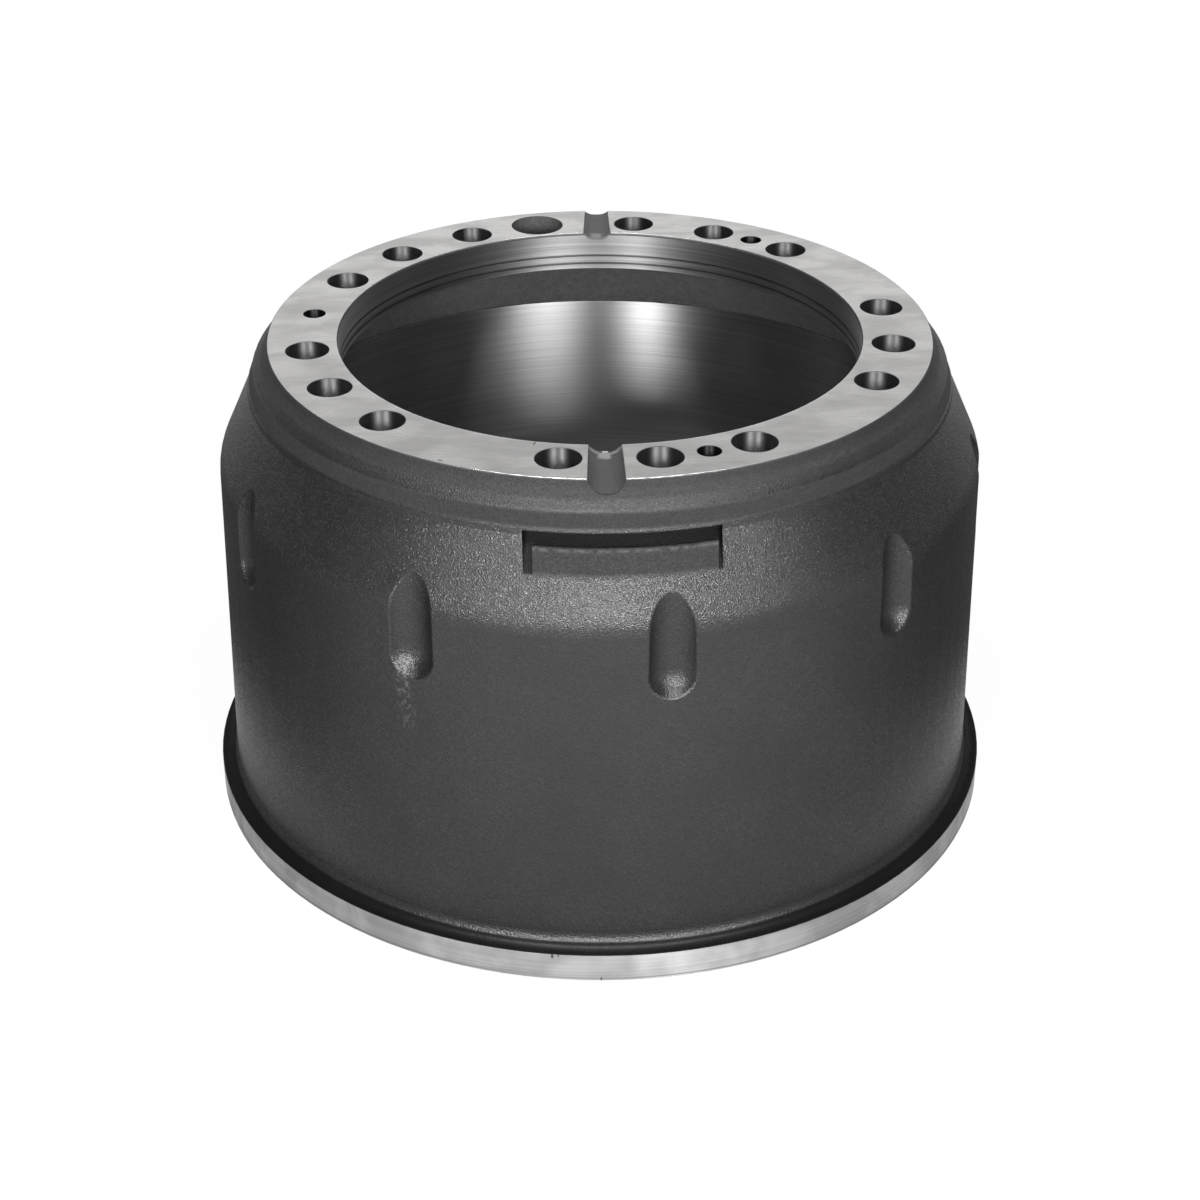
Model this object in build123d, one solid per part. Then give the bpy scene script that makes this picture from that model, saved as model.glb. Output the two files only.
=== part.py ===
"""Brake drum of a heavy commercial axle: one grey-iron casting, machined where it locates and brakes.

The drum stands on its open rim with the mounting flange up. The axis is Z and the rim's machined
face lies at Z = 0. The drilled pattern is symmetrical about the Y axis, and angles around the
axis are measured from -Y towards +X. Lengths are millimetres and angles are degrees.
"""
from build123d import *
import os
from math import atan2, cos, degrees, radians, sin, tan

# ---- machined faces and bores ---------------------------------------------------------------
HEIGHT = 284.5              # rim face to mounting face
FRICTION_DIAMETER = 410.0   # surface that the shoes rub on
FRICTION_DEPTH = 69.0       # mounting face to the upper end of the friction surface
MOUTH_RELIEF = 2.0          # step out at the open end, clear of the shoes
MOUTH_DEPTH = 8.0
MOUTH_CHAMFER = 2.5
FLANGE_THICKNESS = 23.5     # mounting face to the underside of the flange
PITCH_INSET = 37.5          # friction surface in to the circle of the stud holes
FACE_MARGIN = 22.5          # stud circle out to the edge of the mounting face
FACE_CHAMFER = 0.5          # broken edge around it
BORE_MARGIN = 17.75         # stud circle in to the centring bore
BORE_CHAMFER = 0.8          # broken edge at the top of the bore
GROOVE_DEPTHS = (14.2, 19.3)  # from the mounting face down to each relief groove in the bore
GROOVE_WIDTH = 1.2
GROOVE_CUT = 1.2            # how far a relief groove goes into the wall of the bore
RIM_HEIGHT = 17.5           # turned band around the open end
RIM_CHAMFER = 0.8

# ---- holes of the flange --------------------------------------------------------------------
STUD_COUNT = 10
STUD_HOLE = 25.0
STUD_START = 27.0           # angle of the first stud hole
EXTRA_COUNT = 5             # further holes for hubs with another stud pattern
EXTRA_HOLE = 25.0
EXTRA_START = 9.0
SCREW_HOLE = 13.2
SCREW_ANGLES = (18.0, 144.0, 261.0)
SIGHT_HOLE = 32.5           # cast hole to look at the lining
SIGHT_ANGLE = 192.0
SIGHT_OFFSET = 1.0          # sight hole out from the stud circle

# ---- cast outside, from the flange down to the rim ------------------------------------------
COLLAR_HEIGHT = 7.0         # steep edge just under the mounting face
COLLAR_DRAFT = 10.5
COLLAR_FILLET = 8.0
NECK_SPREAD = 8.8           # edge of the mounting face out to the top of the neck
NECK_TOP_DEPTH = 12.9       # below the mounting face, as are the next depths
NECK_ROUND = 8.0
NECK_FLARE = 2.6            # top of the neck out to its foot
NECK_FOOT_DEPTH = 22.7
STEP_WIDTH = 0.9            # small ledge where the neck stands on the shoulder
STEP_DROP = 1.0
STEP_FLARE = 0.4            # ledge out to the top of the shoulder
SHOULDER_TOP_DEPTH = 26.6
SHOULDER_SLOPE = 24.5       # between the shoulder and the axis
SHOULDER_ROUND = 30.0
SHOULDER_WALL = 14.0        # thickness of iron under the shoulder
RIM_WALL = 21.5             # thickness over the friction surface, at the top of the rim
BODY_DRAFT = 1.4
RIM_LEDGE = 9.5             # how far the rim stands out from the foot of the wall
FOOT_FILLET = 8.0
CROWN_FILLET = 6.0          # inside, between the flange and the wall

# ---- cast notches, flutes and tablet --------------------------------------------------------
CAST_TURN = -0.95           # the casting's own zero, measured from the drilled pattern's
NOTCH_ANGLES = (0.3, 180.0)   # from the casting's zero
NOTCH_WIDTH = 19.8
NOTCH_BORE_DEPTH = 4.2      # floor of a notch below the mounting face, at the bore
NOTCH_EDGE_DEPTHS = (7.4, 2.9)  # and at the outside of the flange, each notch
NOTCH_CORNER = 8.5
FLUTE_COUNT = 10
FLUTE_START = 9.0           # angle from the casting's zero to the first flute
FLUTE_RADIUS = 14.5
FLUTE_FLOOR = 9.6           # iron left over the friction surface at the floor of a flute
FLUTE_REACH = 30.6          # foot of the shoulder down to the centre of the round lower end
FLUTE_LIP = 1.6             # rounding of the edge all round a flute
POCKET_ANGLE = 2.6          # from the casting's zero to the middle of the tablet's pocket
POCKET_WIDTH = 101.8
POCKET_RISE = 2.3           # upper wall of the pocket above the top of the shoulder
POCKET_LENGTH = 21.4        # down the shoulder, from its top to where the pocket runs out
POCKET_CUT = 7.0            # depth of the pocket under the shoulder, at its upper edge
TABLET_TOP = 5.0            # down the shoulder, from its top to the upper edge of the tablet
TABLET_LEFT_GAP = 4.8       # channel at each end of the tablet, seen from outside
TABLET_RIGHT_GAP = 2.4
TABLET_SLOPE = 14.5         # between the tablet's face and the axis
TABLET_ROUND = 0.8

# ---- what follows from them -----------------------------------------------------------------
FRICTION_RADIUS = FRICTION_DIAMETER / 2
FRICTION_TOP = HEIGHT - FRICTION_DEPTH
MOUTH_RADIUS = FRICTION_RADIUS + MOUTH_RELIEF
PITCH_RADIUS = FRICTION_RADIUS - PITCH_INSET
FACE_RADIUS = PITCH_RADIUS + FACE_MARGIN
BORE_RADIUS = PITCH_RADIUS - BORE_MARGIN
NECK_TOP_RADIUS = FACE_RADIUS + NECK_SPREAD
NECK_FOOT_RADIUS = NECK_TOP_RADIUS + NECK_FLARE
STEP_RADIUS = NECK_FOOT_RADIUS + STEP_WIDTH
SHOULDER_TOP_RADIUS = STEP_RADIUS + STEP_FLARE
BODY_FOOT_RADIUS = FRICTION_RADIUS + RIM_WALL
RIM_RADIUS = BODY_FOOT_RADIUS + RIM_LEDGE
FLUTE_CENTRE_RADIUS = FRICTION_RADIUS + FLUTE_FLOOR + FLUTE_RADIUS
CUT_OVER = 5.0              # how far a cutter runs past the surface that it starts from
TURN = 360.0


def on_circle(radius, angle, height=0.0):
    """Place a feature on a circle about the axis, with its X axis pointing outwards."""
    return Rot(0, 0, angle - 90) * Pos(radius, 0, height)


def shoulder_radius(height):
    """Radius of the shoulder's cone at a height above the rim face."""
    fall = HEIGHT - SHOULDER_TOP_DEPTH - height
    return SHOULDER_TOP_RADIUS + fall * tan(radians(SHOULDER_SLOPE))


def shoulder_foot_height():
    """Height at which the shoulder's cone meets the drafted wall."""
    slope = tan(radians(SHOULDER_SLOPE))
    draft = tan(radians(BODY_DRAFT))
    gain = shoulder_radius(0) - BODY_FOOT_RADIUS - RIM_HEIGHT * draft
    return gain / (slope - draft)


def inner_cone_radius(height):
    """Radius of the cast inside, one wall thickness in from the shoulder."""
    return shoulder_radius(height) - SHOULDER_WALL / cos(radians(SHOULDER_SLOPE))


def outside_corners():
    """Corners of the outside from the rim up to the mounting face: radius, height, rounding."""
    foot = shoulder_foot_height()
    neck_foot = HEIGHT - NECK_FOOT_DEPTH
    draft = tan(radians(COLLAR_DRAFT))
    return [
        (RIM_RADIUS - RIM_CHAMFER, 0, 0),
        (RIM_RADIUS, RIM_CHAMFER, 0),
        (RIM_RADIUS, RIM_HEIGHT, 0),
        (BODY_FOOT_RADIUS, RIM_HEIGHT, FOOT_FILLET),
        (shoulder_radius(foot), foot, SHOULDER_ROUND),
        (SHOULDER_TOP_RADIUS, HEIGHT - SHOULDER_TOP_DEPTH, 0),
        (STEP_RADIUS, neck_foot - STEP_DROP, 0),
        (NECK_FOOT_RADIUS, neck_foot, 0),
        (NECK_TOP_RADIUS, HEIGHT - NECK_TOP_DEPTH, NECK_ROUND),
        (FACE_RADIUS + COLLAR_HEIGHT * draft, HEIGHT - COLLAR_HEIGHT, COLLAR_FILLET),
        (FACE_RADIUS + FACE_CHAMFER * draft, HEIGHT - FACE_CHAMFER, 0),
        (FACE_RADIUS - FACE_CHAMFER, HEIGHT, 0),
    ]


def inside_corners():
    """Corners of the inside from the bore down to the open end: radius, height, rounding."""
    under = HEIGHT - FLANGE_THICKNESS
    return [
        (BORE_RADIUS + BORE_CHAMFER, HEIGHT, 0),
        (BORE_RADIUS, HEIGHT - BORE_CHAMFER, 0),
        (BORE_RADIUS, under, 0),
        (inner_cone_radius(under), under, CROWN_FILLET),
        (inner_cone_radius(FRICTION_TOP), FRICTION_TOP, 0),
        (FRICTION_RADIUS, FRICTION_TOP, 0),
        (FRICTION_RADIUS, MOUTH_DEPTH, 0),
        (MOUTH_RADIUS, MOUTH_DEPTH, 0),
        (MOUTH_RADIUS, MOUTH_CHAMFER, 0),
        (MOUTH_RADIUS + MOUTH_CHAMFER, 0, 0),
    ]


def section(corners):
    """Face in the XZ plane with the given corners, each rounded by its own radius."""
    points = [(radius, height) for radius, height, _ in corners]
    rounding = [each for _, _, each in corners]
    outline = FilletPolyline(*points, radius=rounding, close=True)
    return Plane.XZ * make_face(outline)


def casting():
    """The turned form: flange, neck, shoulder, wall and rim in one section about the axis."""
    drum = revolve(section(outside_corners() + inside_corners()), Axis.Z)
    for depth in GROOVE_DEPTHS:
        middle = HEIGHT - depth - GROOVE_WIDTH / 2
        drum -= Pos(0, 0, middle) * Cylinder(BORE_RADIUS + GROOVE_CUT, GROOVE_WIDTH)
    return drum


def flute_cutter():
    """A round-nosed upright cutter that leaves a flute with a round lower end."""
    shank = Pos(0, 0, HEIGHT / 2) * Cylinder(FLUTE_RADIUS, HEIGHT)
    return shank + Sphere(FLUTE_RADIUS)


def cut_flutes(drum):
    """Ten flutes down the outside, their edges rounded as cast."""
    end = shoulder_foot_height() - FLUTE_REACH
    for index in range(FLUTE_COUNT):
        angle = CAST_TURN + FLUTE_START + index * TURN / FLUTE_COUNT
        cutter = on_circle(FLUTE_CENTRE_RADIUS, angle, end) * flute_cutter()
        fluted = drum - cutter
        lips = new_edges(drum, cutter, combined=fluted)
        drum = fillet(lips, FLUTE_LIP)
    return drum


def notch_cutter(edge_depth):
    """A trough with rounded corners, its floor sloping from the bore to the outside."""
    run = FACE_RADIUS - BORE_RADIUS
    slope = degrees(atan2(edge_depth - NOTCH_BORE_DEPTH, run))
    size = (run + 2 * CUT_OVER, NOTCH_WIDTH, NOTCH_BORE_DEPTH + edge_depth + CUT_OVER)
    trough = Box(*size, align=(Align.MIN, Align.CENTER, Align.MIN))
    corners = trough.edges().filter_by(Axis.X).group_by(Axis.Z)[0]
    trough = fillet(corners, NOTCH_CORNER)
    return Pos(0, 0, -NOTCH_BORE_DEPTH) * Rot(0, slope, 0) * Pos(-CUT_OVER, 0, 0) * trough


def cut_notches(drum):
    """Two cast troughs across the mounting face, on opposite sides."""
    for angle, edge_depth in zip(NOTCH_ANGLES, NOTCH_EDGE_DEPTHS):
        drum -= on_circle(BORE_RADIUS, CAST_TURN + angle, HEIGHT) * notch_cutter(edge_depth)
    return drum


def down_shoulder(run, rise):
    """Point of the section, so far down the shoulder from its top and so far out from it."""
    slope = radians(SHOULDER_SLOPE)
    radius = SHOULDER_TOP_RADIUS + run * sin(slope) + rise * cos(slope)
    height = HEIGHT - SHOULDER_TOP_DEPTH - run * cos(slope) + rise * sin(slope)
    return radius, height


def shoulder_band(corners, left, right):
    """Ring of the given section, kept between two upright planes either side of -Y."""
    points = [down_shoulder(run, rise) for run, rise, _ in corners]
    outline = FilletPolyline(*points, radius=[each for *_, each in corners], close=True)
    ring = revolve(Plane.XZ * make_face(outline), Axis.Z)
    width = right - left
    slab = Pos((left + right) / 2, -RIM_RADIUS / 2, HEIGHT / 2) * Box(width, RIM_RADIUS, HEIGHT)
    return Rot(0, 0, CAST_TURN + POCKET_ANGLE) * (ring & slab)


def pocket():
    """Wedge cut into the shoulder, deepest at its upper edge and running out below."""
    corners = [
        (-POCKET_RISE, CUT_OVER, 0),
        (POCKET_LENGTH, CUT_OVER, 0),
        (POCKET_LENGTH, 0, 0),
        (-POCKET_RISE, -POCKET_CUT, 0),
    ]
    return shoulder_band(corners, -POCKET_WIDTH / 2, POCKET_WIDTH / 2)


def tablet():
    """Blank casting tablet that stands in the pocket, its face steeper than the shoulder."""
    lean = tan(radians(SHOULDER_SLOPE - TABLET_SLOPE))
    corners = [
        (TABLET_TOP, (POCKET_LENGTH - TABLET_TOP) * lean, TABLET_ROUND),
        (POCKET_LENGTH + CUT_OVER, -CUT_OVER * lean, 0),
        (POCKET_LENGTH + CUT_OVER, -POCKET_CUT, 0),
        (TABLET_TOP, -POCKET_CUT, 0),
    ]
    left = -POCKET_WIDTH / 2 + TABLET_LEFT_GAP
    right = POCKET_WIDTH / 2 - TABLET_RIGHT_GAP
    return shoulder_band(corners, left, right)


def drill(drum, radius, hole, angle):
    """One hole down through the flange and clear of the crown fillet under it."""
    reach = FLANGE_THICKNESS + CROWN_FILLET
    bit = Cylinder(hole / 2, reach + CUT_OVER, align=(Align.CENTER, Align.CENTER, Align.MAX))
    return drum - on_circle(radius, angle, HEIGHT + CUT_OVER) * bit


def drill_flange(drum):
    """Stud holes, the further holes between them, screw holes and the cast sight hole."""
    for index in range(STUD_COUNT):
        drum = drill(drum, PITCH_RADIUS, STUD_HOLE, STUD_START + index * TURN / STUD_COUNT)
    for index in range(EXTRA_COUNT):
        drum = drill(drum, PITCH_RADIUS, EXTRA_HOLE, EXTRA_START + index * TURN / EXTRA_COUNT)
    for angle in SCREW_ANGLES:
        drum = drill(drum, PITCH_RADIUS, SCREW_HOLE, angle)
    return drill(drum, PITCH_RADIUS + SIGHT_OFFSET, SIGHT_HOLE, SIGHT_ANGLE)


def brake_drum():
    """The whole casting, machined."""
    drum = cut_flutes(casting())
    drum = drum - pocket() + tablet()
    drum = cut_notches(drum)
    return drill_flange(drum)


os.makedirs("parts", exist_ok=True)
export_step(brake_drum(), "parts/brake_drum.step")
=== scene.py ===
from collections import namedtuple
from math import cos, radians, sin

import bmesh
import bpy
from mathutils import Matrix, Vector

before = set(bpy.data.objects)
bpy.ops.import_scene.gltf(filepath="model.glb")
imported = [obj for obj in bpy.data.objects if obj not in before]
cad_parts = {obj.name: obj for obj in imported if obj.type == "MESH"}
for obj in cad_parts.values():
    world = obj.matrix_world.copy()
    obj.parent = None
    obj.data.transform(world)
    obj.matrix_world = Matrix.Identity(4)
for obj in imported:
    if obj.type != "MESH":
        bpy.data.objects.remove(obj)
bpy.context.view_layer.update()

# The drum's sizes are millimetres, radii are from its axis and heights from the rim's face. Turns are
# degrees about the axis, from -Y towards +X. The studio's places are metres.
MM = 1000.0                         # millimetres in a metre

# ---- machined faces, bores and holes ---------------------------------------------------------
HEIGHT = 284.5                      # rim face to mounting face
UNDERSIDE = 261.0                   # height of the hub face, under the flange
HUB_FACE = 183.0                    # outer edge of the hub face
BORE = 149.75
BORE_CUTS = 1.6                     # how far its grooves and its broken edge go into the wall
BORE_BREAK = (HEIGHT - 1.3, HEIGHT - 0.07)          # heights of the broken edge
GROOVES = ((264.0, 265.2), (269.1, 270.3))          # foot and top of each relief groove
FACE = 190.0                        # outer edge of the mounting face
FACE_BREAK = (FACE - 0.45, FACE + 1.0)              # radii of its broken edge
HOLE_CIRCLE = 167.5                 # the circle of stud and screw holes
HOLE_BAND = (154.0, 181.6)          # radii that the walls of the holes lie between
SCREW_TURNS = (18.0, 144.0, 261.0)
SCREW_ROOM = 8.5                    # radius that takes in a screw hole and no other
SIGHT_PLACE = (-35.03, 164.82)      # x and y of the sight hole
SIGHT = 17.0
FRICTION = 205.0
FRICTION_TOP = 215.5
MOUTH_TOP = 8.3                     # height of the relief at the open end
MOUTH_EDGE = 217.0
RIM = 236.0
RIM_TOP = 17.5
RIM_LEDGE = 222.0                   # where the ledge of the rim meets the fillet of the wall
RIM_LINE = (1.5, 2.3)               # heights of the fine turned line in the band

# ---- cast skin --------------------------------------------------------------------------------
NOTCH_TURN = -0.8                   # the line of the two notches
NOTCH = 10.7                        # half their width
NOTCH_DEPTH = 9.0
COLLAR_LEAN = 0.1853                # how far the collar's side goes out for each mm down
COLLAR_FOOT = 275.0
NECK = (262.0, 270.4)               # heights of the neck's hollow
SHOULDER = (214.0, 258.0)           # heights of the coarser skin
SHOULDER_TOP = 202.7                # radius and height of the top of the shoulder
SHOULDER_TOP_HEIGHT = 257.9
SHOULDER_LEAN = 0.4557              # how far the shoulder goes out for each mm down
CROWN_TOP = 193.5                   # radius of the crown's slope at the hub face, inside
POCKET_TURN = 1.65                  # the middle of the tablet
POCKET_INNER = 190.0                # radius that everything in the pocket lies outside
POCKET_ENDS = (-51.5, 51.5)         # along the pocket
POCKET_HEIGHTS = (234.0, 262.0)
TABLET_ENDS = (-50.0, 50.0)
TABLET_HEIGHTS = (236.0, 256.0)
EDGE_HIGHLIGHT_ENDS = (-46.0, 48.4)      # upper edge of the tablet, where a highlight is painted in
EDGE_HIGHLIGHT_HEIGHTS = (251.9, 253.6)
EDGE_HIGHLIGHT_RADII = (203.5, 208.0)

# ---- marks of use and storage, and painted shade on the band ----------------------------------
STREAK_TURN = -29.0                 # the worn streak under the left flute
STREAK_WIDTHS = (2.0, 8.0)          # half widths at which it is full and gone
STREAK_FOOT = (128.0, 165.0)        # heights at which it comes in
STREAK_TOP = (178.0, 192.0)         # and goes out again
RIM_SHADE_ENDS = (-66.0, 10.0)               # x of the ends of the painted shade on the band, darker where its reflection is weaker
TICKS = ((-1.5, 0.6, 0.5, 2.2),     # turn, height, half width and half height
         (-8.0, 16.2, 0.7, 1.6), (-7.2, 16.6, 0.4, 0.9))
SCRATCHES = ((-27.5, 187.3, 1.6, 0.5),              # turn, radius and half lengths
             (-14.5, 153.0, 0.5, 2.0))
CRESCENT = 3.2                      # bare iron in a notch, out from the bore
BLOB = 3.2                          # half width of the bare spot on a notch's floor
BLOB_REACH = (9.5, 7.5)             # its far end from the bore, in the front notch and the other

# ---- how light each surface is, from 0 to 1 ---------------------------------------------------
PAINT_TONES = (0.0065, 0.0095)      # darkest and lightest, in soft clouds
PAINT_GRAIN = 0.020                 # single grains of the shoulder, a little cool
CAST_TONES = (0.046, 0.066)         # bare casting inside the crown and in the sight hole
NOTCH_TONES = (0.035, 0.06)
PATCH_TONE = 0.17                   # bare iron in the notches
STREAK_TONE = 0.085
# painted highlight along the tablet's upper edge
EDGE_HIGHLIGHT_TONE = 0.06
PAINTED_SHADE_TONE = 0.01                    # painted shade, in the pocket's channel and at the foot of the wall
FACE_TONES = (0.79, 0.97)
WALL_TONES = (0.24, 0.36)
FRICTION_TONES = (0.43, 0.55)
BAND_TONES = (0.45, 0.56)
HOLE_TONE = 0.16
SCREW_TONE = 0.04
BREAK_TONE = 0.11
# painted shade in the bore's relief grooves
GROOVE_SHADE_TONE = 0.10
SCRATCH_TONE = 0.30
RIM_LINE_TONE = 0.30
TICK_TONE = 0.08

# ---- how rough each surface is, from 0 to 1 ---------------------------------------------------
PAINT_ROUGH = (0.44, 0.26)          # from one grain to another
DULL_PAINT_ROUGH = 0.82             # neck, collar and tablet
CAST_ROUGH = 0.72
# roughness of the painted shade in corners
PAINTED_SHADE_ROUGH = 0.95
FACE_ROUGH = (0.32, 0.26)
FRICTION_ROUGH = 0.37
HOLE_ROUGH = 0.52
BORE_ROUGH = 0.52
RIM_ROUGH = 0.78
BREAK_ROUGH = 0.60

# ---- shaders ----------------------------------------------------------------------------------
PAINT_IOR = 1.62
LATHE_GLOSS = 0.95                  # anisotropy of walls that were turned on a lathe
RIM_PLAIN = 0.6                     # share of the rim band, and of the bore, that is without it
BORE_PLAIN = 0.15
CHANNEL_SHADE = 0.65                 # how much painted shade covers the paint in each place
LEDGE_SHADE = 0.78

# ---- camera and lamps -------------------------------------------------------------------------
CAMERA_PLACE = (-0.0358, -1.2220, 0.8140)
CAMERA_DOWN = 30.14                 # degrees below level
CAMERA_ASIDE = -1.68                # degrees to the side
CAMERA_LENS = 69.165                # millimetres, over the sensor's width
CAMERA_SENSOR = 36
LAMP_AIM = (0.0, 0.0, 0.16)
LAMPS = (                           # turn, height in degrees, distance, width, height and watts
    ("left_key", -18, 20, 1.7, 0.32, 0.26, 20),
    ("right_key", 17, 20.5, 1.7, 0.52, 0.40, 22),
    ("overhead", 0, 75.5, 4.5, 3.3, 0.7, 210),
)

# ---- backdrop and floor -----------------------------------------------------------------------
STUDIO_GREY = 0.048                 # strength of the plain surroundings
BACKDROP_WHITE = 0.8                # strength of the white backdrop in reflections
BACKDROP_RISE = (0.35, 0.60)        # sines of the heights at which it starts to fade and is gone
BACKDROP_ENDS = (0.55, 0.86)        # how far it comes round from behind, as a cosine
BACKDROP_SIDES = 0.18               # what is left of it at the sides and in front
BACKDROP_TURN = 0.15                # how far its middle lies towards +X
FLOOR_SIZE = 6.0                    # half its width
FLOOR_TONE = 0.06

# Each glow of the floor: where it begins and ends, and then its strength at each of these.
SEEN_GLOW = (0.4, 1.2, 0.93, 1.0)           # to the camera, out from the axis
RIM_GLOW = (0.26, 0.34, 0.65, 0.0)          # in reflections, out from the axis
FOOTPRINT = (0.23, 0.25)                    # none is reflected inside this, then all of it
FRONT_GLOW = (-0.50, -0.06, 1.0, 0.05)      # in reflections, along Y in front of the drum
FAR_FRONT_GLOW = (-2.4, -0.8, 0.5, 1.0)     # and how it falls off further out
REAR_GLOW = (0.50, 0.85, 0.0, 0.6)          # behind the drum


# ---- small helpers for materials --------------------------------------------------------------
class Nodes:
    """Short ways to add nodes to a material or to the world."""

    def __init__(self, owner):
        owner.use_nodes = True
        self.tree = owner.node_tree
        self.tree.nodes.clear()

    def node(self, kind, **settings):
        made = self.tree.nodes.new(kind)
        for key, value in settings.items():
            setattr(made, key, value)
        return made

    def feed(self, socket, value):
        """Link a socket to another node's output, or set its own value."""
        if isinstance(value, bpy.types.NodeSocket):
            self.tree.links.new(value, socket)
        else:
            socket.default_value = value

    def feed_all(self, made, *values):
        """Feed a node's inputs in their order, and give its first output."""
        for socket, value in zip(made.inputs, values):
            self.feed(socket, value)
        return made.outputs[0]

    def surface(self, kind, shader):
        """End the tree in its output node."""
        self.feed(self.node(kind).inputs["Surface"], shader)

    # ---- numbers
    def maths(self, operation, *values):
        return self.feed_all(self.node("ShaderNodeMath", operation=operation), *values)

    def plus(self, first, second):
        return self.maths("ADD", first, second)

    def minus(self, first, second):
        return self.maths("SUBTRACT", first, second)

    def times(self, first, second):
        return self.maths("MULTIPLY", first, second)

    def most(self, first, second):
        return self.maths("MAXIMUM", first, second)

    def size(self, x, y):
        """Distance of the point x, y from zero."""
        return self.maths("SQRT", self.plus(self.times(x, x), self.times(y, y)))

    def ramp(self, value, low, high, from_value=0.0, to_value=1.0, smooth=True):
        kind = "SMOOTHSTEP" if smooth else "LINEAR"
        made = self.node("ShaderNodeMapRange", interpolation_type=kind, clamp=True)
        return self.feed_all(made, value, low, high, from_value, to_value)

    # ---- masks, one inside an area and zero outside it
    def above(self, value, edge, soft=0.06):
        return self.ramp(value, edge - soft, edge + soft)

    def below(self, value, edge, soft=0.06):
        return self.ramp(value, edge - soft, edge + soft, 1.0, 0.0)

    def between(self, value, low, high, soft=0.06):
        return self.times(self.above(value, low, soft), self.below(value, high, soft))

    def spot(self, first, second, middle_first, middle_second, half_first, half_second):
        """One inside a soft-edged oval about a middle point."""
        across = self.times(self.minus(first, middle_first), 1.0 / half_first)
        along = self.times(self.minus(second, middle_second), 1.0 / half_second)
        return self.below(self.size(across, along), 1.0, 0.2)

    def all_of(self, *masks):
        result = masks[0]
        for mask in masks[1:]:
            result = self.times(result, mask)
        return result

    def any_of(self, *masks):
        result = masks[0]
        for mask in masks[1:]:
            result = self.most(result, mask)
        return result

    def without(self, mask):
        return self.minus(1.0, mask)

    # ---- places and patterns
    def vector(self, x, y, z):
        return self.feed_all(self.node("ShaderNodeCombineXYZ"), x, y, z)

    def split(self, vector):
        made = self.node("ShaderNodeSeparateXYZ")
        self.feed(made.inputs[0], vector)
        return made.outputs

    def stretched(self, place, x, y, z):
        return self.feed_all(self.node("ShaderNodeVectorMath", operation="MULTIPLY"), place, (x, y, z))

    def noise(self, place, scale, detail=2.0, rough=0.5, warp=0.0):
        made = self.node("ShaderNodeTexNoise", noise_dimensions="3D")
        self.feed(made.inputs["Vector"], place)
        made.inputs["Scale"].default_value = scale
        made.inputs["Detail"].default_value = detail
        made.inputs["Roughness"].default_value = rough
        made.inputs["Distortion"].default_value = warp
        return made.outputs[0]

    def ragged(self, place, scale, reach, detail=3.0, rough=0.6):
        """Mm to move a border by, so that it wanders over this reach."""
        return self.times(self.minus(self.noise(place, scale, detail, rough), 0.5), reach)

    def grains(self, place, scale):
        """Sand grains packed side by side: distance from the nearest one's middle, and its own chance."""
        made = self.node("ShaderNodeTexVoronoi", feature="F1")
        self.feed(made.inputs["Vector"], place)
        made.inputs["Scale"].default_value = scale
        chance = self.node("ShaderNodeSeparateColor")
        self.feed(chance.inputs[0], made.outputs["Color"])
        return made.outputs["Distance"], chance.outputs[0]

    # ---- colours
    def blend(self, share, first, second):
        """Number between two numbers, or else colour between two colours."""
        numbers = is_number(first) and is_number(second)
        made = self.node("ShaderNodeMix", data_type="FLOAT" if numbers else "RGBA")
        places, result = ((0, 2, 3), 0) if numbers else ((0, 6, 7), 2)
        for place, value in zip(places, (share, first, second)):
            self.feed(made.inputs[place], value)
        return made.outputs[result]

    def layered(self, base, *layers):
        """A colour or number, and each of the others laid over it where its mask is one."""
        for mask, over in layers:
            base = self.blend(mask, base, over)
        return base

    def shades(self, share, tones, warm=0.0):
        """A grey between the dark and the light one of a pair."""
        dark, light = tones
        return self.blend(share, grey(dark, warm), grey(light, warm))

    def tint(self, colour, amount):
        """Colour made lighter or darker by a number around one."""
        made = self.node("ShaderNodeVectorMath", operation="SCALE")
        self.feed(made.inputs[0], colour)
        self.feed(made.inputs["Scale"], amount)
        return made.outputs[0]

    # ---- light
    def shader(self, colour, rough, normal, metallic=0.0, anisotropic=0.0, ior=1.5):
        made = self.node("ShaderNodeBsdfPrincipled")
        self.feed(made.inputs["Base Color"], colour)
        self.feed(made.inputs["Roughness"], rough)
        self.feed(made.inputs["Normal"], normal)
        made.inputs["Metallic"].default_value = metallic
        made.inputs["Anisotropic"].default_value = anisotropic
        made.inputs["IOR"].default_value = ior
        return made

    def mixed(self, share, first, second):
        return self.feed_all(self.node("ShaderNodeMixShader"), share, first, second)

    def rays(self):
        """One where the camera sees a surface itself, and one where gloss or glass shows it."""
        path = self.node("ShaderNodeLightPath")
        return (path.outputs["Is Camera Ray"],
                self.most(path.outputs["Is Glossy Ray"], path.outputs["Is Transmission Ray"]))


def is_number(value):
    """True for a number, or a socket that gives one."""
    if isinstance(value, bpy.types.NodeSocket):
        return value.type == "VALUE"
    return isinstance(value, float)


def grey(value, warm=0.0):
    """A near-neutral colour, a little warm or cool."""
    return (value * (1 + warm), value, value * (1 - warm), 1.0)


# ---- places on the drum -----------------------------------------------------------------------
Place = namedtuple("Place", "point x y z radius front")


def drum_place(f):
    """Where a point is on the drum, in mm, and a mask that is one on the -Y half."""
    point = f.stretched(f.node("ShaderNodeTexCoord").outputs["Object"], MM, MM, MM)
    x, y, z = f.split(point)
    return Place(point, x, y, z, f.size(x, y), f.below(y, 0.0))


def sideways(f, at, turn):
    """Mm to the right of the line that leaves the axis at this turn, seen from outside."""
    return f.plus(f.times(at.x, cos(radians(turn))), f.times(at.y, sin(radians(turn))))


def on_hole_circle(turn):
    return HOLE_CIRCLE * sin(radians(turn)), -HOLE_CIRCLE * cos(radians(turn))


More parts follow.
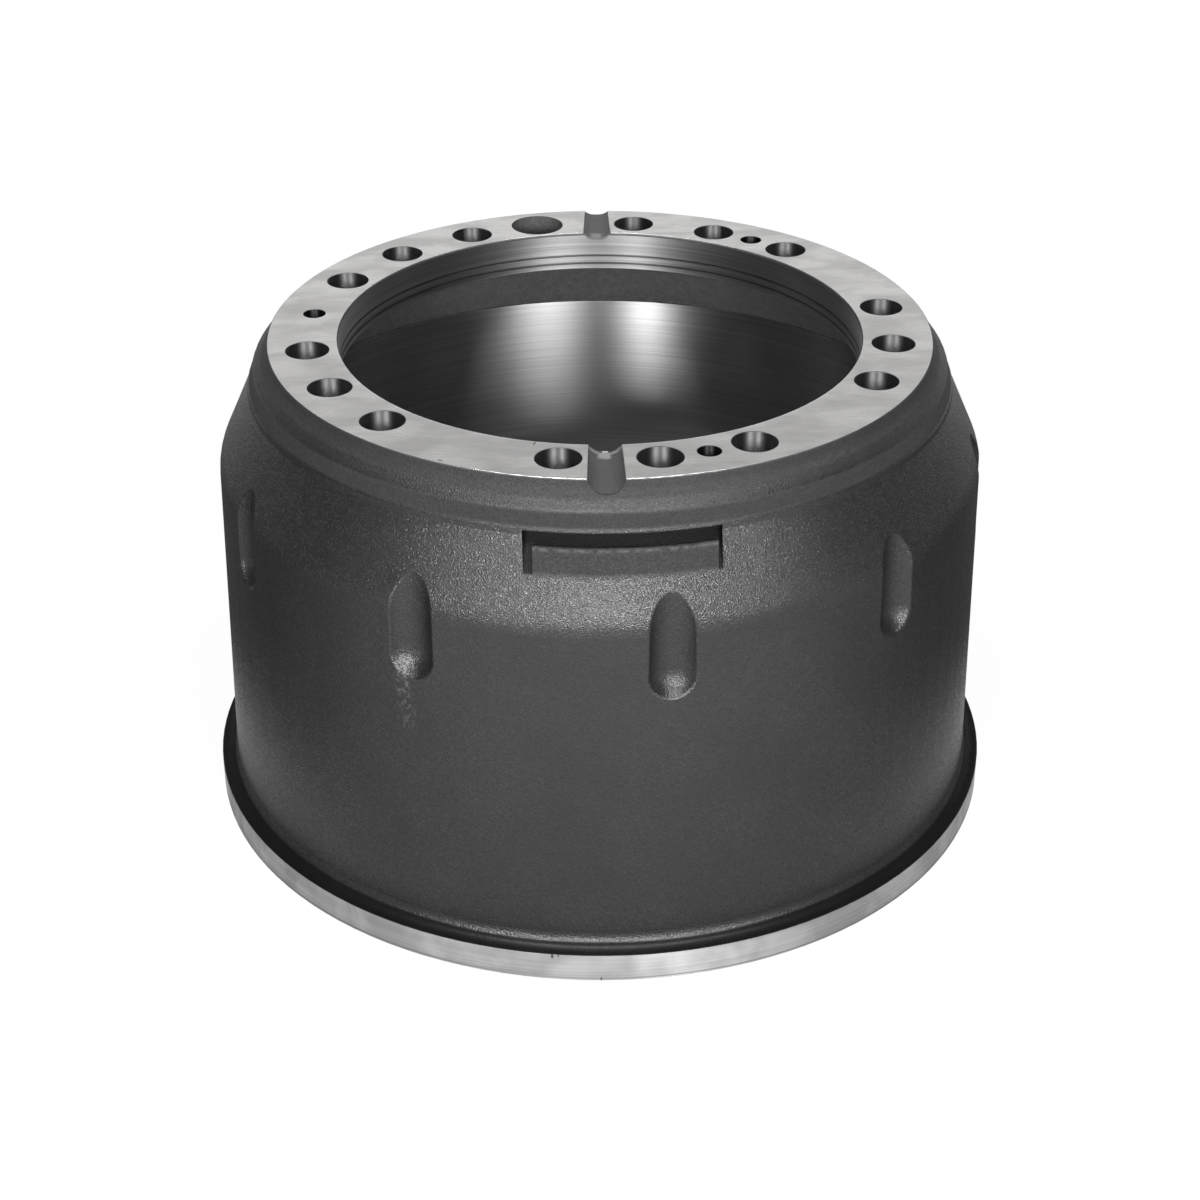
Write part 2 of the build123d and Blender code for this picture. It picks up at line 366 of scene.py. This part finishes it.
def drum_areas(f, at):
    """One on each kind of surface. The small amounts put a border in the broken edge between two."""
    y, z, radius = at.y, at.z, at.radius
    across = f.maths("ABSOLUTE", sideways(f, at, NOTCH_TURN))
    collar = f.plus(FACE - 0.25, f.times(f.minus(HEIGHT, z), COLLAR_LEAN))
    notch = f.all_of(f.below(across, NOTCH), f.above(z, HEIGHT - NOTCH_DEPTH), f.above(radius, BORE + 1.1),
                     f.below(f.minus(radius, collar), 0.0))
    sight = f.below(f.size(f.minus(at.x, SIGHT_PLACE[0]), f.minus(y, SIGHT_PLACE[1])), SIGHT)
    sight_wall = f.times(sight, f.below(z, HEIGHT - 0.06, 0.02))
    face = f.all_of(f.above(z, HEIGHT - 0.4, 0.05), f.below(radius, FACE_BREAK[0]), f.without(sight_wall))
    face_break = f.all_of(f.above(z, HEIGHT - 0.5, 0.05), f.between(radius, *FACE_BREAK), f.without(notch))
    bore = f.all_of(f.below(radius, BORE + BORE_CUTS), f.above(z, UNDERSIDE + 0.1))
    hub_face = f.all_of(f.between(z, UNDERSIDE - 0.2, UNDERSIDE + 0.2), f.below(radius, HUB_FACE))
    friction = f.all_of(f.between(radius, FRICTION - 0.5, FRICTION + 0.5), f.below(z, FRICTION_TOP + 0.1))
    mouth = f.all_of(f.between(radius, FRICTION, MOUTH_EDGE), f.below(z, MOUTH_TOP))
    rim = f.all_of(f.above(radius, RIM - 0.9), f.below(z, RIM_TOP - 0.12, 0.08))
    rim_face = f.below(z, 0.15)
    holes = f.all_of(f.between(radius, *HOLE_BAND), f.between(z, UNDERSIDE + 0.1, HEIGHT - 0.3),
                     f.without(notch), f.without(sight))
    screws = f.times(holes, f.any_of(*(
        f.spot(at.x, y, *on_hole_circle(turn), SCREW_ROOM, SCREW_ROOM) for turn in SCREW_TURNS)))
    breaks = f.any_of(face_break, f.all_of(bore, f.between(z, *BORE_BREAK, 0.03)))
    inside = f.below(f.plus(radius, f.times(z, SHOULDER_LEAN)), CROWN_TOP + UNDERSIDE * SHOULDER_LEAN, 0.5)
    crown = f.all_of(inside, f.between(z, FRICTION_TOP - 0.5, UNDERSIDE + 0.5))
    turned = f.any_of(face, face_break, bore, hub_face, friction, mouth, rim, rim_face, holes)
    shoulder = f.between(z, *SHOULDER, 7.0)
    return {"turned": turned, "face": face, "bore": bore, "hub_face": hub_face, "friction": friction,
            "rim": rim, "rim_face": rim_face, "holes": holes, "screws": screws, "breaks": breaks,
            "crown": crown, "notch": notch, "notch_across": across, "sight": sight, "shoulder": shoulder}


# ---- tablet and its pocket --------------------------------------------------------------------
def pocket_depth(f, at):
    """How far a point lies under the shoulder's own surface, in mm."""
    surface = f.plus(SHOULDER_TOP, f.times(f.minus(SHOULDER_TOP_HEIGHT, at.z), SHOULDER_LEAN))
    return f.minus(surface, at.radius)


def pocket_channel(f, at):
    """One in the narrow channel round the tablet."""
    return f.all_of(f.above(pocket_depth(f, at), 0.5, 0.25),
                    f.between(sideways(f, at, POCKET_TURN), *POCKET_ENDS, 0.2),
                    f.between(at.z, *POCKET_HEIGHTS), at.front, f.above(at.radius, POCKET_INNER))


def tablet_face(f, at):
    """One on the tablet, which stands proud of the shoulder."""
    return f.all_of(f.below(pocket_depth(f, at), -0.35, 0.3),
                    f.between(sideways(f, at, POCKET_TURN), *TABLET_ENDS),
                    f.between(at.z, *TABLET_HEIGHTS), at.front, f.above(at.radius, POCKET_INNER))


def tablet_edge_highlight(f, at):
    """One along the tablet's upper edge, where a painted highlight makes it lighter than the paint."""
    patchy = f.ramp(f.noise(at.point, 0.25, detail=3.0, rough=0.6), 0.35, 0.60)
    return f.all_of(patchy, f.between(at.z, *EDGE_HIGHLIGHT_HEIGHTS, 0.4),
                    f.between(sideways(f, at, POCKET_TURN), *EDGE_HIGHLIGHT_ENDS, 0.3),
                    at.front, f.between(at.radius, *EDGE_HIGHLIGHT_RADII, 0.4))


# ---- marks of use, and painted shade ----------------------------------------------------------
def rim_corner(f, at):
    """One in the corner where the wall's foot meets the ledge of the rim."""
    return f.all_of(f.between(at.z, RIM_TOP - 1.0, RIM_TOP + 3.2, 0.7),
                    f.between(at.radius, RIM_LEDGE, RIM - 0.5))


def corner_shade(f, at):
    """How much of the paint is covered by painted shade in narrow corners."""
    return f.any_of(f.times(pocket_channel(f, at), CHANNEL_SHADE), f.times(rim_corner(f, at), LEDGE_SHADE))


def rim_ticks(f, at):
    """One on the small dark ticks in the rim band."""
    return f.times(at.front, f.any_of(*(
        f.spot(sideways(f, at, turn), at.z, 0.0, height, wide, tall)
        for turn, height, wide, tall in TICKS)))


def rim_shade(f, at):
    """One in the painted shade left of the middle of the rim band, where its reflection is weaker."""
    return f.times(at.front, f.between(f.plus(at.x, f.ragged(at.point, 0.03, 40.0)), *RIM_SHADE_ENDS, 14.0))


def face_scratches(f, at):
    """One on the few dark scratches in the mounting face."""
    return f.times(at.front, f.any_of(*(
        f.spot(sideways(f, at, turn), at.radius, 0.0, middle, wide, deep)
        for turn, middle, wide, deep in SCRATCHES)))


def bare_patches(f, at, areas):
    """One where the skin of a notch is cut through to iron, along the bore and in a blob on the floor."""
    ragged = f.ragged(at.point, 0.6, 3.0)
    reach = f.plus(at.radius, ragged)
    crescent = f.below(reach, BORE + CRESCENT, 0.8)
    in_front, behind = (BORE + length for length in BLOB_REACH)
    end = f.blend(f.below(at.y, 0.0, 1.0), in_front, behind)
    blob = f.all_of(f.below(f.plus(areas["notch_across"], ragged), BLOB, 1.0),
                    f.below(f.minus(reach, end), 0.0, 1.2))
    return f.all_of(f.any_of(crescent, blob), areas["notch"], f.below(at.z, HEIGHT - 0.5))


def worn_streak(f, at):
    """One on the light specks that run down the wall from the foot of one flute."""
    wander = f.ragged(f.stretched(at.point, 0.4, 0.4, 1.0), 0.07, 9.0, detail=2.0, rough=0.5)
    off_line = f.maths("ABSOLUTE", f.plus(sideways(f, at, STREAK_TURN), wander))
    band = f.ramp(off_line, *STREAK_WIDTHS, 1.0, 0.0)
    fade = f.times(f.ramp(at.z, *STREAK_FOOT), f.ramp(at.z, *STREAK_TOP, 1.0, 0.0))
    specks = f.ramp(f.noise(f.stretched(at.point, 1.0, 1.0, 0.7), 0.50, detail=3.0, rough=0.7), 0.46, 0.66)
    return f.all_of(band, fade, specks, at.front)


# ---- finishes of the drum ---------------------------------------------------------------------
def cast_skin(f, at, areas):
    """Colour, roughness and height in mm of the painted skin, coarser on the shoulder."""
    clouds = f.noise(at.point, 0.022, detail=3.0, rough=0.55)
    peel = f.noise(at.point, 0.30, detail=3.0, rough=0.6)
    mottle = f.noise(at.point, 0.20, detail=4.0, rough=0.6)
    grain = f.noise(at.point, 1.3, detail=1.0)
    grit, chance = f.grains(at.point, 1.25)

    paint = f.shades(f.ramp(clouds, 0.35, 0.65), PAINT_TONES)
    paint = f.tint(paint, f.ramp(chance, 0.0, 1.0, 0.1, 1.9, smooth=False))
    paint = f.blend(f.all_of(f.ramp(chance, 0.66, 0.95), areas["shoulder"]), paint, grey(PAINT_GRAIN, -0.06))
    dark_cast, light_cast = CAST_TONES
    cast = f.blend(f.ramp(mottle, 0.3, 0.75), grey(dark_cast, 0.01), grey(light_cast, 0.015))
    cast = f.tint(cast, f.ramp(chance, 0.0, 1.0, 0.75, 1.25, smooth=False))
    notch = f.tint(f.shades(f.ramp(grain, 0.3, 0.7), NOTCH_TONES), f.ramp(at.y, -1.0, 1.0, 0.8, 1.4))
    colour = f.layered(paint,
                       (f.any_of(areas["crown"], areas["sight"]), cast),
                       (areas["notch"], notch),
                       (bare_patches(f, at, areas), grey(PATCH_TONE)),
                       (worn_streak(f, at), grey(STREAK_TONE)),
                       (tablet_edge_highlight(f, at), grey(EDGE_HIGHLIGHT_TONE)))

    dull = f.any_of(f.between(at.z, *NECK, 1.2), f.times(f.above(at.z, NECK[1], 1.2), 0.3),
                    f.times(f.above(at.z, COLLAR_FOOT, 1.5), 0.8), tablet_face(f, at))
    rough = f.layered(f.ramp(chance, 0.0, 1.0, *PAINT_ROUGH, smooth=False),
                      (f.any_of(areas["crown"], areas["notch"], areas["sight"]), CAST_ROUGH),
                      (f.all_of(dull, f.above(at.radius, FACE)), DULL_PAINT_ROUGH))

    coarse = f.blend(areas["shoulder"], 0.16, 0.20)
    height = f.plus(f.times(f.minus(f.plus(grain, grit), 0.95), coarse), f.times(f.minus(peel, 0.5), 0.06))
    return colour, rough, height


def tool_lines(f, at, wander, scale, detail, rough):
    """Fine lines round the axis, as a lathe leaves them, which wander a little on their way round."""
    place = f.vector(f.plus(at.radius, at.z), f.times(at.x, wander), f.times(at.y, wander))
    return f.noise(place, scale, detail, rough)


def turned_iron(f, at, areas):
    """Colour, roughness and height in mm of bare turned iron, with its tool marks."""
    marks = tool_lines(f, at, wander=0.012, scale=2.2, detail=2.0, rough=0.6)
    lines = f.ramp(tool_lines(f, at, wander=0.006, scale=0.8, detail=3.0, rough=0.65), 0.3, 0.7)
    patches = f.noise(f.stretched(at.point, 0.5, 0.9, 0.5), 0.055, detail=3.0, rough=0.55, warp=0.4)
    brushed = f.noise(f.stretched(at.point, 0.06, 1.0, 0.3), 0.9, detail=3.0, rough=0.6)
    fine = f.noise(at.point, 0.9, detail=2.0, rough=0.6)

    face = f.shades(f.ramp(patches, 0.34, 0.66), FACE_TONES, 0.012)
    face = f.tint(face, f.plus(f.ramp(brushed, 0.25, 0.75, 0.91, 1.03),
                               f.ramp(fine, 0.3, 0.7, -0.02, 0.03)))
    face = f.blend(face_scratches(f, at), face, grey(SCRATCH_TONE))
    band = f.tint(f.shades(lines, BAND_TONES), f.ramp(patches, 0.35, 0.65, 0.84, 1.10))
    # painted shade over part of the band, standing in for a weaker reflection there
    band = f.tint(band, f.ramp(rim_shade(f, at), 0.0, 1.0, 1.0, 0.76))
    band = f.layered(band,
                     (f.between(at.z, *RIM_LINE, 0.25), grey(RIM_LINE_TONE)),
                     (rim_ticks(f, at), grey(TICK_TONE)))
    # painted shade darkens the bore's relief grooves
    groove_shade = f.all_of(areas["bore"], f.any_of(*(f.between(at.z, *heights, 0.2) for heights in GROOVES)))
    colour = f.layered(f.shades(lines, WALL_TONES),
                       (areas["face"], face),
                       (areas["friction"], f.shades(lines, FRICTION_TONES)),
                       (areas["holes"], grey(HOLE_TONE)),
                       (areas["screws"], grey(SCREW_TONE)),
                       (areas["breaks"], grey(BREAK_TONE)),
                       (areas["rim"], band),
                       (groove_shade, grey(GROOVE_SHADE_TONE)))

    rough = f.layered(f.ramp(patches, 0.3, 0.7, *FACE_ROUGH),
                      (areas["friction"], FRICTION_ROUGH),
                      (areas["holes"], HOLE_ROUGH),
                      (areas["bore"], BORE_ROUGH),
                      (areas["rim"], RIM_ROUGH),
                      (areas["breaks"], BREAK_ROUGH))
    height = f.times(f.minus(marks, 0.5), f.blend(areas["face"], 0.045, 0.03))
    return colour, rough, height


def painted_casting():
    """Black paint on sand-cast iron, and bare turned iron where the drum is machined."""
    material = bpy.data.materials.new("painted_casting")
    f = Nodes(material)
    at = drum_place(f)
    areas = drum_areas(f, at)
    # Painted shade: in the pocket's channel and in the corner at the wall's foot, the paint gives way to
    # dark, rough iron.
    shade_share = corner_shade(f, at)
    shaded = f.above(shade_share, 0.1)
    bare = f.any_of(areas["turned"], shade_share)
    paint_colour, paint_rough, paint_height = cast_skin(f, at, areas)
    iron_colour, iron_rough, iron_height = turned_iron(f, at, areas)
    iron_colour = f.blend(shaded, iron_colour, grey(PAINTED_SHADE_TONE))
    iron_rough = f.blend(shaded, iron_rough, PAINTED_SHADE_ROUGH)

    relief = f.node("ShaderNodeBump")
    relief.inputs["Strength"].default_value = 1.0
    relief.inputs["Distance"].default_value = 1.0 / MM
    f.feed(relief.inputs["Height"], f.blend(bare, paint_height, iron_height))
    normal = relief.outputs[0]

    paint = f.shader(paint_colour, paint_rough, normal, ior=PAINT_IOR)
    lathed = f.shader(iron_colour, iron_rough, normal, metallic=1.0, anisotropic=LATHE_GLOSS)
    f.feed(lathed.inputs["Tangent"], f.vector(0.0, 0.0, 1.0))
    plain = f.shader(iron_colour, iron_rough, normal, metallic=1.0)
    level = f.any_of(areas["face"], areas["hub_face"], areas["rim_face"], areas["breaks"],
                     f.times(areas["rim"], RIM_PLAIN), f.times(areas["bore"], BORE_PLAIN), shaded)
    iron = f.mixed(level, lathed.outputs[0], plain.outputs[0])
    f.surface("ShaderNodeOutputMaterial", f.mixed(bare, paint.outputs[0], iron))
    return material


# ---- studio -----------------------------------------------------------------------------------
def place_camera():
    lens = bpy.data.cameras.new("camera")
    lens.sensor_width = CAMERA_SENSOR
    lens.lens = CAMERA_LENS
    camera = bpy.data.objects.new("camera", lens)
    bpy.context.scene.collection.objects.link(camera)
    camera.location = CAMERA_PLACE
    camera.rotation_euler = (radians(90 - CAMERA_DOWN), 0, radians(CAMERA_ASIDE))
    bpy.context.scene.camera = camera


def softbox(name, turn, rise, distance, width, height, watts):
    """A rectangular lamp that looks at the drum from a turn about it and an angle above the floor."""
    lamp = bpy.data.lights.new(name, "AREA")
    lamp.shape = "RECTANGLE"
    lamp.size = width
    lamp.size_y = height
    lamp.energy = watts
    box = bpy.data.objects.new(name, lamp)
    bpy.context.scene.collection.objects.link(box)
    turn, rise = radians(turn), radians(rise)
    away = Vector((sin(turn) * cos(rise), -cos(turn) * cos(rise), sin(rise)))
    box.location = Vector(LAMP_AIM) + away * distance
    box.rotation_euler = away.to_track_quat("Z", "Y").to_euler()
    box.visible_camera = False


def surroundings():
    """White to the camera, white low down in reflections, and a plain dark grey to everything else."""
    world = bpy.data.worlds.new("surroundings")
    bpy.context.scene.world = world
    f = Nodes(world)
    camera, shiny = f.rays()
    x, y, z = f.split(f.node("ShaderNodeTexCoord").outputs["Generated"])
    low = f.ramp(z, *BACKDROP_RISE, 1.0, 0.0)
    behind = f.ramp(f.maths("MULTIPLY_ADD", x, BACKDROP_TURN, y), *BACKDROP_ENDS, BACKDROP_SIDES, 1.0)
    reflected = f.blend(f.times(shiny, f.times(low, behind)), STUDIO_GREY, BACKDROP_WHITE)
    back = f.node("ShaderNodeBackground")
    back.inputs["Color"].default_value = (1.0, 1.0, 1.0, 1.0)
    f.feed(back.inputs["Strength"], f.blend(camera, reflected, 1.0))
    f.surface("ShaderNodeOutputWorld", back.outputs[0])


def pale_floor():
    """A plain pale floor that goes white to the camera and keeps the drum's shadow."""
    grid = bmesh.new()
    bmesh.ops.create_grid(grid, x_segments=1, y_segments=1, size=FLOOR_SIZE)
    mesh = bpy.data.meshes.new("floor")
    grid.to_mesh(mesh)
    grid.free()
    floor = bpy.data.objects.new("floor", mesh)
    bpy.context.scene.collection.objects.link(floor)
    material = bpy.data.materials.new("pale_floor")
    f = Nodes(material)
    pale = f.node("ShaderNodeBsdfDiffuse")
    pale.inputs["Color"].default_value = grey(FLOOR_TONE)
    camera, shiny = f.rays()
    place = f.node("ShaderNodeTexCoord").outputs["Object"]
    length = f.node("ShaderNodeVectorMath", operation="LENGTH")
    f.feed(length.inputs[0], place)
    away = length.outputs["Value"]
    y = f.split(place)["Y"]
    front = f.times(f.ramp(y, *FRONT_GLOW), f.ramp(y, *FAR_FRONT_GLOW))
    shown = f.any_of(f.ramp(away, *RIM_GLOW), front, f.ramp(y, *REAR_GLOW))
    glow = f.node("ShaderNodeEmission")
    f.feed(glow.inputs["Strength"], f.plus(f.times(camera, f.ramp(away, *SEEN_GLOW)),
                                           f.all_of(shiny, f.ramp(away, *FOOTPRINT), shown)))
    both = f.feed_all(f.node("ShaderNodeAddShader"), pale.outputs[0], glow.outputs[0])
    f.surface("ShaderNodeOutputMaterial", both)
    mesh.materials.append(material)


def main():
    bpy.context.scene.view_settings.view_transform = "Standard"
    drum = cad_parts["brake_drum"]
    drum.data.materials.clear()
    drum.data.materials.append(painted_casting())
    place_camera()
    surroundings()
    pale_floor()
    for lamp in LAMPS:
        softbox(*lamp)


main()
